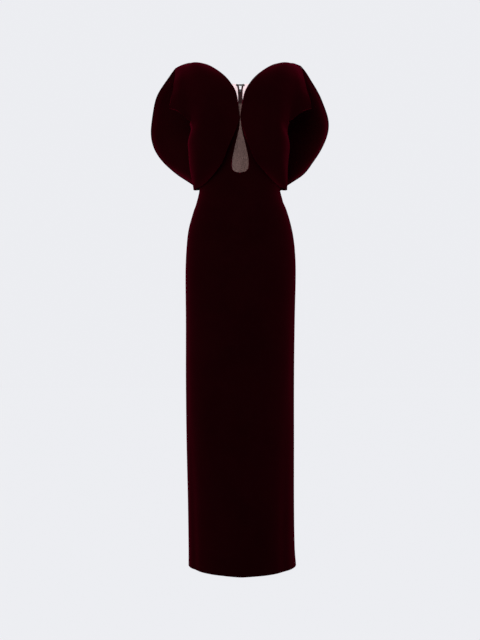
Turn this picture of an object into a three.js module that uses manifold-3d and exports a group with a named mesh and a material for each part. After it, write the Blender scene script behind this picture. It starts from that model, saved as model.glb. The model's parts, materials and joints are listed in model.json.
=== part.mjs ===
// A strapless velvet column gown, hollow as worn: a tube of front and back panels with a keyhole of fine net
// at the breast, a sheer net yoke and a zip at the back, and two pairs of stiff curved petals round the arms.
// Millimetres, +Z up. The origin is the middle of the waist, -Y is the front and -X the wearer's right.

import * as THREE from "three";
import { mergeVertices } from "three/addons/utils/BufferGeometryUtils.js";
import Module from "manifold-3d";

const wasm = await Module();
wasm.setup();

// Driving sizes.
const HEM = -1134; // height of the hem
const VELVET = 2.5; // wall of the body panels
const PETAL = 3; // wall of the petals, two velvets bonded back to back
const NET = 1; // wall of the sheer net
const TAPE = 1; // wall of the zip's tape
const SEAM = 0.3; // gap between pieces at a seam
const RIDGE_SEAM = 0.6; // gap where front and back petal meet over the arm
const TACKED = 0.8; // gap under a petal's edge that is tacked to the body
const NET_GAP = 0.9; // gap between the front panel and the net behind it
const TAPE_GAP = 0.5; // gap between the back and the zip behind it
// The fullness that the front's darts give each side: how far it stands out, its middle, and how it fades.
const CUP = { rise: 18, out: 78, up: 158, spread: 42, fade: 60 };
// The cut-out at the breast: its foot, its corners' height and squareness, and the net's lap behind its edge.
const KEYHOLE = { bottom: 28, corner: 20, square: 2.6, lap: 8 };
const NET_TOP = 226; // top edge of the net in the keyhole
const YOKE_TOP = { middle: 336, side: 344 }; // top edge of the back yoke
const YOKE_SIDE = { foot: 0.12, lean: 0.1 }; // how far round the back its side edge starts, and leans
const VENT_TOP = -700; // the back seam is open from here down to the hem
const BACK_GAP = 0.8; // half the gap over the closed zip
// The zip: heights of its foot and slider, where its tape starts and how wide it is, half width of its chain.
const ZIP = { foot: -185, slider: 316, tapeFrom: 1.8, tapeWide: 5.2, chain: 1.5, chainThick: 1.6 };
// The slider: half its width and height, its wall, its lug's width and radius, the eye's place and the pin.
const SLIDER = { half: 3.2, tall: 4, thick: 2.4, neck: 1.6, lug: 2, axis: 3, pin: 0.8 };
const PULL = { cheek: 1, wide: 6, long: 15, thick: 1.6 };
// The hook and eye: height, outer end of the plates, where the hook's tongue starts and how far it reaches.
const HOOK = { at: 333, plate: 13.5, reach: 6, tongue: 4.2, thick: 0.8, tall: 4.6 };

// Cross-sections of the body: half width, depth to the front and to the back of the side seams,
// roundness (2 is an ellipse, less is leaner) and how far the section hangs to the wearer's left.
const FIGURE = [
  { z: HEM, half: 160, front: 126, back: 124, round: 1.75, shift: 6 },
  { z: -1080, half: 158, front: 124, back: 122, round: 1.78, shift: 4 },
  { z: -940, half: 158, front: 122, back: 122, round: 1.82, shift: 2 },
  { z: -760, half: 160, front: 120, back: 122, round: 1.88, shift: 0 },
  { z: -580, half: 161, front: 118, back: 124, round: 1.94, shift: -1 },
  { z: -400, half: 162, front: 114, back: 128, round: 2, shift: 0 },
  { z: -255, half: 164, front: 108, back: 131, round: 2.05, shift: 1 },
  { z: -185, half: 161, front: 104, back: 127, round: 2.08, shift: 1 },
  { z: -130, half: 154, front: 101, back: 117, round: 2.1, shift: 0 },
  { z: -75, half: 139, front: 97, back: 102, round: 2.12, shift: 0 },
  { z: -38, half: 126, front: 94, back: 92, round: 2.12, shift: -1 },
  { z: 0, half: 119, front: 93, back: 85, round: 2.12, shift: -1.5 },
  { z: 60, half: 122, front: 97, back: 88, round: 2.15, shift: 0 },
  { z: 120, half: 131, front: 102, back: 97, round: 2.2, shift: 0 },
  { z: 172, half: 139, front: 104.5, back: 104, round: 2.25, shift: 0 },
  { z: 230, half: 144, front: 100, back: 109, round: 2.3, shift: 0 },
  { z: 290, half: 148, front: 92, back: 107, round: 2.3, shift: 0 },
  { z: 350, half: 150, front: 80, back: 99, round: 2.3, shift: 0 },
];

// Half width of the keyhole by height: a rounded foot, near-upright sides, drawn together at the top.
const KEYHOLE_SIDE = [
  { z: 28, half: 23.8 },
  { z: 66, half: 23.2 },
  { z: 96, half: 17.3 },
  { z: 128, half: 9.4 },
  { z: 152, half: 3.7 },
  { z: 164, half: 2 },
  { z: 184, half: 3 },
  { z: 206, half: 8 },
];

// Top edge of the velvet, by how far round it lies: 0 at the side seam, 1 at the middle.
const FRONT_TOP = [
  { round: 0, z: 172 },
  { round: 0.35, z: 196 },
  { round: 0.7, z: 212 },
  { round: 1, z: 204 },
];
const BACK_TOP = [
  { round: 0, z: 172 },
  { round: 0.4, z: 214 },
  { round: 1, z: 240 },
];

// Front petal of the wearer's right, from its foot at the side of the waist up to the ridge over the arm.
// neck: free edge towards the neck. breast, flank: the bulge. roll: where it turns back towards the side.
const FRONT_PETAL = [
  { neck: [-117, -45, -5], breast: [-122, -47, -8], flank: [-130, -43, -11], roll: [-137, -30, -13] },
  { neck: [-94, -75, 9], breast: [-108, -79, 5], flank: [-126, -72, 0], roll: [-136, -50, -5] },
  { neck: [-68, -105, 33], breast: [-90, -110, 30], flank: [-121, -102, 26], roll: [-138, -75, 21] },
  { neck: [-49, -124, 58], breast: [-78, -131, 58], flank: [-117, -124, 57], roll: [-142, -92, 55] },
  { neck: [-35, -134, 93], breast: [-68, -144, 94], flank: [-113, -139, 93], roll: [-144, -103, 91] },
  { neck: [-21, -132, 125], breast: [-60, -148, 126], flank: [-110, -144, 124], roll: [-144, -108, 121] },
  { neck: [-9.4, -122, 156], breast: [-52, -146, 156], flank: [-106, -146, 154], roll: [-136, -112, 152] },
  { neck: [-1.5, -114, 178], breast: [-48, -143, 179], flank: [-104, -146, 179], roll: [-140, -112, 172] },
  { neck: [-3.6, -113, 198], breast: [-50, -141, 200], flank: [-103, -146, 201], roll: [-143, -116, 200] },
  { neck: [-9.7, -117, 245], breast: [-54, -138, 246], flank: [-105, -141, 246], roll: [-150, -114, 245] },
  { neck: [-24, -116, 276], breast: [-62, -132, 277], flank: [-108, -133, 278], roll: [-153, -106, 277] },
  { neck: [-48, -105, 306], breast: [-77, -117, 309], flank: [-116, -118, 310], roll: [-155, -94, 306] },
  { neck: [-85, -80, 338], breast: [-105, -87, 340], flank: [-131, -86, 341], roll: [-156, -68, 338] },
  { neck: [-113, -50, 355], breast: [-124, -53, 356.5], flank: [-140, -51, 357], roll: [-156, -42, 354] },
  { neck: [-141, -10, 367.5], breast: [-145, -9, 368], flank: [-150, -8, 367.5], roll: [-156, -7, 366.5] },
];

// How much nearer the middle the left petal lies than the right one, for its first rows: its neck edge, its
// roll and its turn under the arm. The breast line follows the neck edge by a share.
const LEFT_NEARER = [
  { neck: 0, roll: 0, turn: 0 },
  { neck: 0, roll: 0.6, turn: 0.6 },
  { neck: 1.5, roll: 4, turn: 4 },
  { neck: 6, roll: 8, turn: 8 },
  { neck: 8, roll: 6.5, turn: 7 },
  { neck: 7.5, roll: 8, turn: 8 },
  { neck: 3.6, roll: 7.5, turn: 6 },
  { neck: 0.5, roll: 2, turn: 5.5 },
  { neck: 2.2, roll: 0.5, turn: 0 },
];
const BREAST_FOLLOWS = 0.35;

// Below the arm the front petal goes on along the body, from the roll by turn to its end at the height seam,
// UNDER_ARM_END radians past the side seam.
const UNDER_ARM_END = 0.03;
const UNDER_ARM = [
  { turn: [-136, -15, -12], seam: -9 },
  { turn: [-137, -28, -5], seam: -4 },
  { turn: [-141, -42, 18], seam: 18 },
  { turn: [-145.5, -52, 53], seam: 52 },
  { turn: [-147.5, -58, 90], seam: 88 },
  { turn: [-148.5, -60, 121], seam: 118 },
  { turn: [-142.5, -62, 151], seam: 146 },
  { turn: [-145, -62, 171], seam: 167 },
];

// Over the arm it goes on outwards as a cap, by turn to the free edge. Its first row is the cap's lower hem.
const CAP = [
  { turn: [-172, -106, 196], edge: [-206, -88, 213], trim: 0 },
  { turn: [-175, -104, 211], edge: [-204.5, -86, 228], trim: 0 },
  { turn: [-177, -101, 247], edge: [-200, -82, 249], trim: 0 },
  { turn: [-176, -93, 275], edge: [-196, -74, 271], trim: 2 },
  { turn: [-176, -80, 303], edge: [-193, -62, 298], trim: 4 },
  { turn: [-176, -57, 330], edge: [-192, -46, 317], trim: 6 },
  { turn: [-177, -35, 348], edge: [-193, -28, 335], trim: 8 },
  { turn: [-177, -5, 360.5], edge: [-195.5, -4, 352], trim: 13 },
];
const NOTCH_ROW = FRONT_PETAL.length - CAP.length; // the row at which under-arm and cap part

// The ridge over the arm where front and back petal meet, by reach from the middle. It is straight in plan.
const RIDGE = [
  { reach: 141, z: 367.5 },
  { reach: 157, z: 367.3 },
  { reach: 177, z: 361.5 },
  { reach: 195.5, z: 352 },
];
const RIDGE_PLAN = { reach: 141, y: -10, slope: 0.11 };

// Back petal of the wearer's right, from the waist up to the ridge, round the arm: rim is the free edge in
// front, turn where it bends to the back, and trim what the wearer's left one is set in by.
const BACK_PETAL_ROUND = [
  { rim: [-118, 11, -7], turn: [-115, 24, -7], trim: 0 },
  { rim: [-150, 12, 14], turn: [-146, 38, 14], trim: -2 },
  { rim: [-192, 18, 42], turn: [-183, 56, 41], trim: 1 },
  { rim: [-231, 24, 79], turn: [-222, 72, 75], trim: 12 },
  { rim: [-258, 28, 116], turn: [-247, 80, 112], trim: 15 },
  { rim: [-270, 30, 162], turn: [-259, 84, 160], trim: 7 },
  { rim: [-267, 28, 208], turn: [-256, 82, 206], trim: 1 },
  { rim: [-259, 22, 252], turn: [-248, 76, 251], trim: 8 },
  { rim: [-246, 16, 286], turn: [-235, 66, 288], trim: 11 },
  { rim: [-223, 10, 319], turn: [-215, 50, 322], trim: 9 },
  { rim: [-204, 2, 343], turn: [-198, 28, 348], trim: 7 },
  { rim: [-195.5, -4, 352], turn: [-186, -5, 357], trim: 13 },
];

// The same rows over the back: blade and spine are the bulge, and middle is the edge by the zip.
const BACK_PETAL_OVER = [
  { blade: [-110, 37, -7], spine: [-104, 46, -7], middle: [-98, 54.5, -6] },
  { blade: [-134, 61, 12], spine: [-116, 75, 11], middle: [-95, 83, 12] },
  { blade: [-159, 90, 38], spine: [-119, 108, 36], middle: [-72, 108, 38] },
  { blade: [-185, 110, 70], spine: [-120, 130, 68], middle: [-50, 121, 70] },
  { blade: [-200, 122, 108], spine: [-118, 140, 106], middle: [-34, 120, 108] },
  { blade: [-208, 128, 158], spine: [-115, 142, 156], middle: [-21, 107, 152] },
  { blade: [-206, 127, 205], spine: [-113, 141, 203], middle: [-16, 111, 196] },
  { blade: [-199, 120, 250], spine: [-114, 136, 248], middle: [-27, 112, 240] },
  { blade: [-191, 107, 290], spine: [-120, 124, 290], middle: [-50, 110, 284] },
  { blade: [-183, 84, 326], spine: [-132, 103, 326], middle: [-84, 101, 319] },
  { blade: [-178, 50, 352], spine: [-146, 64, 352], middle: [-114, 70, 347] },
  { blade: [-174, -6, 362], spine: [-157, -8, 366.5], middle: [-141, -10, 367.5] },
];
const TACKED_ROWS = { from: 5, to: 8 }; // rows of the back petal between which its middle edge is sewn down

// The gap between the two sides of the back opening, by height, as a distance from the middle: a seam below
// the zip, open in the vent, nearly closed over the zip and parting above its slider.
const BACK_EDGE = [
  { z: HEM, gap: 3 },
  { z: -900, gap: 1.6 },
  { z: VENT_TOP, gap: 0.15 },
  { z: ZIP.foot, gap: 0.15 },
  { z: ZIP.foot + 28, gap: BACK_GAP },
  { z: 300, gap: BACK_GAP },
  { z: 314, gap: 1.2 },
  { z: 324, gap: 2.4 },
  { z: YOKE_TOP.middle, gap: 4.8 },
];

// Trims take effect over this stretch of the way out from the middle.
const TRIMMED = { from: 120, over: 60 };

const velvet = new THREE.MeshStandardMaterial({ color: 0x2a0309, roughness: 0.95, metalness: 0 });
const net = new THREE.MeshStandardMaterial({ color: 0x8a6a60, roughness: 0.9, metalness: 0 });
const tape = new THREE.MeshStandardMaterial({ color: 0x3a1a1c, roughness: 0.85, metalness: 0 });
const enamel = new THREE.MeshStandardMaterial({ color: 0x1c1216, roughness: 0.4, metalness: 0.6 });

// A value read from a table by height or place, smooth from row to row.
function read(table, key, at, name) {
  const last = table.length - 1;
  let k = 0;
  while (k < last - 1 && at > table[k + 1][key]) k++;
  const slope = (i) => {
    const a = table[Math.max(i - 1, 0)];
    const b = table[Math.min(i + 1, last)];
    return (b[name] - a[name]) / (b[key] - a[key]);
  };
  const [p, q] = [table[k], table[k + 1]];
  const width = q[key] - p[key];
  const t = THREE.MathUtils.clamp((at - p[key]) / width, 0, 1);
  const [t2, t3] = [t * t, t * t * t];
  return (
    (2 * t3 - 3 * t2 + 1) * p[name] +
    (t3 - 2 * t2 + t) * width * slope(k) +
    (3 * t2 - 2 * t3) * q[name] +
    (t3 - t2) * width * slope(k + 1)
  );
}

// The same, on straight lines between the rows.
function readStraight(table, key, at, name) {
  let k = 0;
  while (k < table.length - 2 && at > table[k + 1][key]) k++;
  const [p, q] = [table[k], table[k + 1]];
  const t = THREE.MathUtils.clamp((at - p[key]) / (q[key] - p[key]), 0, 1);
  return p[name] + t * (q[name] - p[name]);
}

const power = (v, e) => Math.sign(v) * Math.abs(v) ** e;

// The body's surface. turn is the angle round it: 0 at the wearer's left side seam, +90 degrees at the back.
function bodyPoint(turn, z) {
  const lean = 2 / read(FIGURE, "z", z, "round");
  const x = read(FIGURE, "z", z, "half") * power(Math.cos(turn), lean);
  const depth = read(FIGURE, "z", z, Math.sin(turn) < 0 ? "front" : "back");
  let y = depth * power(Math.sin(turn), lean);
  if (y < 0) {
    const high = (z - CUP.up) / CUP.spread;
    for (const side of [-1, 1]) {
      const wide = (x - side * CUP.out) / CUP.spread;
      y -= CUP.rise * Math.exp(-(wide * wide + high * high) / 2) * Math.min(1, -y / CUP.fade);
    }
  }
  return new THREE.Vector3(x + read(FIGURE, "z", z, "shift"), y, z);
}

function bodyNormal(turn, z) {
  const step = 0.02;
  const round = bodyPoint(turn + step, z).sub(bodyPoint(turn - step, z));
  const up = bodyPoint(turn, z + 2).sub(bodyPoint(turn, z - 2));
  return round.cross(up).normalize();
}

// The angle at which the body is across millimetres from the middle: side is -1 in front, +1 at the back.
function turnAt(across, z, side) {
  const share = across / read(FIGURE, "z", z, "half");
  return side * Math.acos(THREE.MathUtils.clamp(power(share, read(FIGURE, "z", z, "round") / 2), -1, 1));
}

const bodyVertex = (turn, z, off = 0) => {
  const normal = bodyNormal(turn, z);
  return { point: bodyPoint(turn, z).addScaledVector(normal, off), normal };
};

// A point on a smooth line through points, at place u counted in points.
function onLine(points, u) {
  const k = THREE.MathUtils.clamp(Math.floor(u), 0, points.length - 2);
  const t = u - k;
  const at = (i) => {
    if (i < 0) return points[0].clone().multiplyScalar(2).sub(points[1]);
    if (i >= points.length) return points.at(-1).clone().multiplyScalar(2).sub(points.at(-2));
    return points[i];
  };
  const [t2, t3] = [t * t, t ** 3];
  const shares = [-t + 2 * t2 - t3, 2 - 5 * t2 + 3 * t3, t + 4 * t2 - 3 * t3, t3 - t2];
  return shares.reduce((sum, share, i) => sum.addScaledVector(at(k + i - 1), share / 2), new THREE.Vector3());
}

const steps = (from, to, count) =>
  Array.from({ length: count + 1 }, (_, i) => from + ((to - from) * i) / count);

// A grid of vertices on the surface that lines across give: lines(u) is the line's points at row place u.
function surfaceGrid(lines, rows, columns) {
  const at = (u, v) => onLine(lines(u), v);
  const small = 0.01;
  return rows.map((u) =>
    columns.map((v) => {
      const up = at(u + small, v).sub(at(u - small, v));
      const across = at(u, v + small).sub(at(u, v - small));
      return { point: at(u, v), normal: across.cross(up).normalize() };
    }),
  );
}

// The closed wall between offsets near and far of grids of vertices. Grids join where they share points.
function wall(grids, near, far) {
  const vertices = [];
  const known = new Map();
  const index = ({ point, normal }) => {
    const key = point.toArray().map((v) => Math.round(v * 500)).join();
    if (!known.has(key)) {
      known.set(key, vertices.length);
      vertices.push({ point, normal: new THREE.Vector3() });
    }
    vertices[known.get(key)].normal.add(normal);
    return known.get(key);
  };
  const faces = [];
  const addFace = (a, b, c) => {
    if (a === b || b === c || c === a) return;
    const [p, q, r] = [a, b, c].map((i) => vertices[i].point);
    const facing = q.clone().sub(p).cross(r.clone().sub(p));
    const out = vertices[a].normal.clone().add(vertices[b].normal).add(vertices[c].normal);
    faces.push(facing.dot(out) < 0 ? [a, c, b] : [a, b, c]);
  };
  for (const grid of grids) {
    const ids = grid.map((row) => row.map(index));
    for (let j = 0; j + 1 < ids.length; j++)
      for (let i = 0; i + 1 < ids[j].length; i++) {
        addFace(ids[j][i], ids[j][i + 1], ids[j + 1][i + 1]);
        addFace(ids[j][i], ids[j + 1][i + 1], ids[j + 1][i]);
      }
  }
  const count = vertices.length;
  const moved = ({ point, normal }, off) => point.clone().addScaledVector(normal.normalize(), off).toArray();
  const positions = [far, near].flatMap((off) => vertices.flatMap((vertex) => moved(vertex, off)));
  const edges = new Set(faces.flatMap(([a, b, c]) => [`${a} ${b}`, `${b} ${c}`, `${c} ${a}`]));
  const triangles = faces.flatMap(([a, b, c]) => [a, b, c, c + count, b + count, a + count]);
  for (const edge of edges) {
    const [a, b] = edge.split(" ").map(Number);
    if (!edges.has(`${b} ${a}`)) triangles.push(b, a, a + count, b, a + count, b + count);
  }
  const geometry = new THREE.BufferGeometry();
  geometry.setAttribute("position", new THREE.Float32BufferAttribute(positions, 3));
  geometry.setIndex(triangles);
  geometry.computeVertexNormals();
  return geometry;
}

// The two petals' walls face each other squarely at the ridge: the end is cut in the upright plane along it.
function squareEnd(grid) {
  const row = grid.at(-1);
  row.forEach(({ normal }, i) => {
    const along = row[Math.min(i + 1, row.length - 1)].point.clone().sub(row[Math.max(i - 1, 0)].point);
    const upright = new THREE.Vector3(-along.z, 0, along.x).normalize();
    normal.copy(upright.multiplyScalar(Math.sign(upright.dot(normal))));
  });
  return grid;
}

const ridgeAt = (x) => {
  const beyond = -x - RIDGE_PLAN.reach;
  return new THREE.Vector3(x, RIDGE_PLAN.y + RIDGE_PLAN.slope * beyond, read(RIDGE, "reach", -x, "z"));
};

// Puts the ends of a petal's lines on the ridge, half a seam to the front or the back of it.
function endOnRidge(lines, side) {
  for (const line of lines) {
    line.at(-1).copy(ridgeAt(line.at(-1).x));
    line.at(-1).y += (side * RIDGE_SEAM) / 2;
  }
}

// The wearer's left petals reach a little less far out: hand is +1 there, while the point is on the right.
function trimmed([x, y, z], trim, hand) {
  const share = THREE.MathUtils.clamp((-x - TRIMMED.from) / TRIMMED.over, 0, 1);
  return new THREE.Vector3(x + (hand > 0 ? trim * share : 0), y, z);
}

const mirrored = (grid) =>
  grid.map((row) =>
    row.map(({ point, normal }) => ({
      point: point.clone().setX(-point.x),
      normal: normal.clone().setX(-normal.x),
    })),
  );

const gown = new THREE.Group();
function add(name, geometry, material) {
  const mesh = new THREE.Mesh(geometry, material);
  mesh.name = name;
  gown.add(mesh);
  return mesh;
}

// Half width of the keyhole at a height, with the rounded foot.
function keyholeHalf(z) {
  if (z <= KEYHOLE.bottom) return 0;
  const side = read(KEYHOLE_SIDE, "z", z, "half");
  const foot = (z - KEYHOLE.bottom) / KEYHOLE.corner;
  return foot >= 1 ? side : side * (1 - (1 - foot) ** KEYHOLE.square) ** (1 / KEYHOLE.square);
}

// The angle that is half a seam inside the side seam, towards the front or the back.
const sideTurn = (side, z) => {
  const close = 0.05;
  const arc = bodyPoint(side * close, z).distanceTo(bodyPoint(0, z));
  return (close * SEAM) / 2 / arc;
};

// Heights of the rows of vertices: of the skirt, of the bodice's front and back, and of the zip above that.
const SKIRT_ROWS = [
  HEM, -1080, -1010, -940, -850, -760, -670, -580, -490, -400, -325, -255, -215, -185, -157, -130, -102, -75,
  -56, -38, -19, 0,
];
const BODICE_ROWS = [14, 28, 31, 36, 44, 54, 66, 81, 96, 112, 128, 140, 152, 164];
const BACK_ROWS = [20, 40, 60, 80, 100, 120];
const YOKE_ROWS = [150, 180, 210, 240, 270, 300];
const NET_ROWS = [28, 36, 50, 66, 81, 96, 112, 128, 140, 152, 164, 180, 196, 211];
const ZIP_ROWS = [...SKIRT_ROWS.filter((z) => z >= ZIP.foot), ...BACK_ROWS, ...YOKE_ROWS];

// One half of the front, from the side seam to the middle; hand is -1 on the wearer's right.
function frontHalf(hand) {
  const across = steps(0, 1, 10);
  const shape = (share, z) => {
    const side = hand > 0 ? -sideTurn(-1, z) : -Math.PI + sideTurn(-1, z);
    const middle = turnAt(hand * keyholeHalf(z), z, -1);
    return bodyVertex(side + (middle - side) * share, z);
  };
  const last = BODICE_ROWS.at(-1);
  const rows = [...SKIRT_ROWS, ...BODICE_ROWS].map((z) => across.map((share) => shape(share, z)));
  const height = (share, rise) => last + (read(FRONT_TOP, "round", share, "z") - last) * rise;
  for (const rise of steps(0, 1, 3).slice(1)) {
    rows.push(across.map((share) => shape(share, height(share, rise))));
  }
  return rows;
}

// One half of the back, from the side seam to the zip.
function backHalf(hand) {
  const across = steps(0, 1, 9);
  const shape = (share, z) => {
    const side = hand > 0 ? sideTurn(1, z) : Math.PI - sideTurn(1, z);
    const middle = turnAt(hand * readStraight(BACK_EDGE, "z", z, "gap"), z, 1);
    return bodyVertex(side + (middle - side) * share, z);
  };
  const rows = [...SKIRT_ROWS, ...BACK_ROWS].map((z) => across.map((share) => shape(share, z)));
  const last = BACK_ROWS.at(-1);
  const height = (share, rise) => last + (read(BACK_TOP, "round", share, "z") - last) * rise;
  for (const rise of steps(0, 1, 4).slice(1)) {
    rows.push(across.map((share) => shape(share, height(share, rise))));
  }
  return rows;
}

// One half of the sheer yoke, from its side edge under the back petal to the middle, above the velvet.
function yokeHalf(hand) {
  const across = steps(0, 1, 8);
  return steps(0, 1, 6).map((rise) =>
    across.map((share) => {
      const round = share + (YOKE_SIDE.foot + YOKE_SIDE.lean * rise) * (1 - share);
      const foot = read(BACK_TOP, "round", round, "z") + SEAM + VELVET / 4;
      const top = YOKE_TOP.side + (YOKE_TOP.middle - YOKE_TOP.side) * share;
      const z = foot + (top - foot) * rise;
      const middle = turnAt(hand * readStraight(BACK_EDGE, "z", z, "gap"), z, 1);
      const side = hand > 0 ? 0 : Math.PI;
      return bodyVertex(side + (middle - side) * round, z);
    }),
  );
}

// The net in the keyhole, just inside the front and lapped behind its edge.
function keyholeNet() {
  return [KEYHOLE.bottom - KEYHOLE.lap, ...NET_ROWS, NET_TOP].map((z) => {
    const narrowest = 5;
    const cut = keyholeHalf(Math.max(z, KEYHOLE.bottom + KEYHOLE.corner));
    const half = Math.max(cut, narrowest) + KEYHOLE.lap;
    return steps(-1, 1, 6).map((share) => bodyVertex(turnAt(share * half, z, -1), z));
  });
}

// The tape of one side of the zip, inside the back. It parts from the other one above the slider.
function zipTape(hand) {
  return [...ZIP_ROWS, ZIP.slider, ZIP.slider + 8, YOKE_TOP.middle - 1].map((z) => {
    const parted = Math.max(readStraight(BACK_EDGE, "z", z, "gap") - BACK_GAP, 0);
    const from = ZIP.tapeFrom + parted;
    return [from, from + ZIP.tapeWide].map((across) => bodyVertex(turnAt(hand * across, z, 1), z));
  });
}

function zipChain() {
  return [...ZIP_ROWS, ZIP.slider - SLIDER.tall - SEAM].map((z) =>
    [-ZIP.chain, ZIP.chain].map((across) => bodyVertex(turnAt(across, z, 1), z)),
  );
}

// The three joined parts of a front petal: its face, the side under the arm and the cap over it.
function frontPetal(hand) {
  const column = (table, name) => table.map((row) => trimmed(row[name], row.trim ?? 0, hand));
  const [neck, breast, flank, roll] = ["neck", "breast", "flank", "roll"].map((n) => column(FRONT_PETAL, n));
  const lowTurn = column(UNDER_ARM, "turn");
  if (hand > 0) {
    LEFT_NEARER.forEach((nearer, k) => {
      neck[k].x += nearer.neck;
      breast[k].x += nearer.neck * BREAST_FOLLOWS;
      roll[k].x += nearer.roll;
      if (k < lowTurn.length) lowTurn[k].x += nearer.turn;
    });
  }
  const off = VELVET / 2 + TACKED + PETAL / 2;
  const lowEnd = UNDER_ARM.map((row) => bodyVertex(-Math.PI - UNDER_ARM_END, row.seam, off).point);
  const capTurn = column(CAP, "turn");
  const capEnd = column(CAP, "edge");
  endOnRidge([neck, breast, flank, roll, capTurn, capEnd], -1);
  const shared = (u) => [neck, breast, flank, roll].map((line) => onLine(line, u));
  const face = (u) => {
    const swing = THREE.MathUtils.smoothstep(u, NOTCH_ROW - 2, NOTCH_ROW + 2);
    const low = onLine(lowTurn, Math.min(u, NOTCH_ROW));
    const high = onLine(capTurn, Math.max(u - NOTCH_ROW, 0));
    return [...shared(u), low.lerp(high, swing)];
  };
  const under = (u) => [...shared(u).slice(2), onLine(lowTurn, u), onLine(lowEnd, u)];
  const cap = (u) => [...shared(u).slice(2), onLine(capTurn, u - NOTCH_ROW), onLine(capEnd, u - NOTCH_ROW)];
  const top = FRONT_PETAL.length - 1;
  const low = steps(0, NOTCH_ROW, NOTCH_ROW * 2);
  const high = steps(NOTCH_ROW, top, (top - NOTCH_ROW) * 2);
  return [
    squareEnd(surfaceGrid(face, [...low, ...high.slice(1)], steps(0, 3, 9))),
    surfaceGrid(under, low, steps(1, 3, 5)),
    squareEnd(surfaceGrid(cap, high, steps(1, 3, 4))),
  ];
}

// A back petal, drawn on the wearer's right. Its normals face out of the bulge.
function backPetal(hand) {
  const off = VELVET / 2 + TACKED + PETAL / 2;
  const table = BACK_PETAL_ROUND.map((row, k) => ({ ...row, ...BACK_PETAL_OVER[k] }));
  const columns = ["rim", "turn", "blade", "spine", "middle"].map((name) =>
    table.map((row) => trimmed(row[name], row.trim, hand)),
  );
  const tack = (point) => point.copy(bodyVertex(turnAt(point.x, point.z, 1), point.z, off).point);
  const isTacked = (u) => u >= TACKED_ROWS.from && u <= TACKED_ROWS.to;
  columns.at(-1).filter((_, k) => isTacked(k)).forEach(tack);
  for (const column of columns) tack(column[0]);
  endOnRidge(columns, 1);
  const lines = (u) => {
    const line = columns.map((column) => onLine(column, u));
    if (isTacked(u)) tack(line.at(-1));
    return line;
  };
  const top = table.length - 1;
  const rows = steps(0, top, top * 2);
  return [squareEnd(surfaceGrid(lines, rows, steps(0, 4, 12)))];
}

// A group on the back at height z: x across, y straight out of the cloth, z up along it.
function backGroup(z) {
  const out = bodyNormal(Math.PI / 2, z);
  const group = new THREE.Group();
  group.position.copy(bodyPoint(Math.PI / 2, z));
  group.rotation.x = Math.atan2(out.z, out.y);
  gown.add(group);
  return group;
}

// A shape of [y, z] points in a group's own frame, width thick about the middle.
function sideways(shape, width) {
  const geometry = new THREE.ExtrudeGeometry(shape, { depth: width, bevelEnabled: false, curveSegments: 10 });
  geometry.translate(0, 0, -width / 2);
  geometry.applyMatrix4(new THREE.Matrix4().set(0, 0, 1, 0, 1, 0, 0, 0, 0, 1, 0, 0, 0, 0, 0, 1));
  return geometry;
}

function joined(geometries) {
  const solids = geometries.map((geometry) => {
    const bare = geometry.clone();
    bare.deleteAttribute("normal");
    bare.deleteAttribute("uv");
    const merged = mergeVertices(bare, 1e-4);
    return new wasm.Manifold(
      new wasm.Mesh({
        numProp: 3,
        vertProperties: new Float32Array(merged.attributes.position.array),
        triVerts: new Uint32Array(merged.index.array),
      }),
    );
  });
  const mesh = solids.reduce((sum, solid) => sum.add(solid)).getMesh();
  const geometry = new THREE.BufferGeometry();
  geometry.setAttribute("position", new THREE.BufferAttribute(new Float32Array(mesh.vertProperties), 3));
  geometry.setIndex(new THREE.BufferAttribute(new Uint32Array(mesh.triVerts), 1));
  geometry.computeVertexNormals();
  return geometry;
}

const boxAt = ([x0, x1], [y0, y1], [z0, z1]) => {
  const geometry = new THREE.BoxGeometry(x1 - x0, y1 - y0, z1 - z0);
  geometry.translate((x0 + x1) / 2, (y0 + y1) / 2, (z0 + z1) / 2);
  return geometry;
};

// The slider: a body inside the tapes and a lug that comes out between the edges of the yoke, with the hole
// for the pull tab's pin.
function addSlider(group) {
  const inner = -(VELVET / 2 + TAPE_GAP + TAPE + SEAM);
  const body = boxAt([-SLIDER.half, SLIDER.half], [inner - SLIDER.thick, inner], [-SLIDER.tall, SLIDER.tall]);
  const lug = new THREE.Shape();
  lug.moveTo(inner - 1, -SLIDER.lug);
  lug.lineTo(SLIDER.axis, -SLIDER.lug);
  lug.absarc(SLIDER.axis, 0, SLIDER.lug, -Math.PI / 2, Math.PI / 2);
  lug.lineTo(inner - 1, SLIDER.lug);
  lug.closePath();
  const eye = new THREE.Path();
  eye.absarc(SLIDER.axis, 0, SLIDER.pin + SEAM, 0, 2 * Math.PI, true);
  lug.holes.push(eye);
  const mesh = add("zip_slider", joined([body, sideways(lug, SLIDER.neck)]), enamel);
  group.add(mesh);
}

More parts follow.
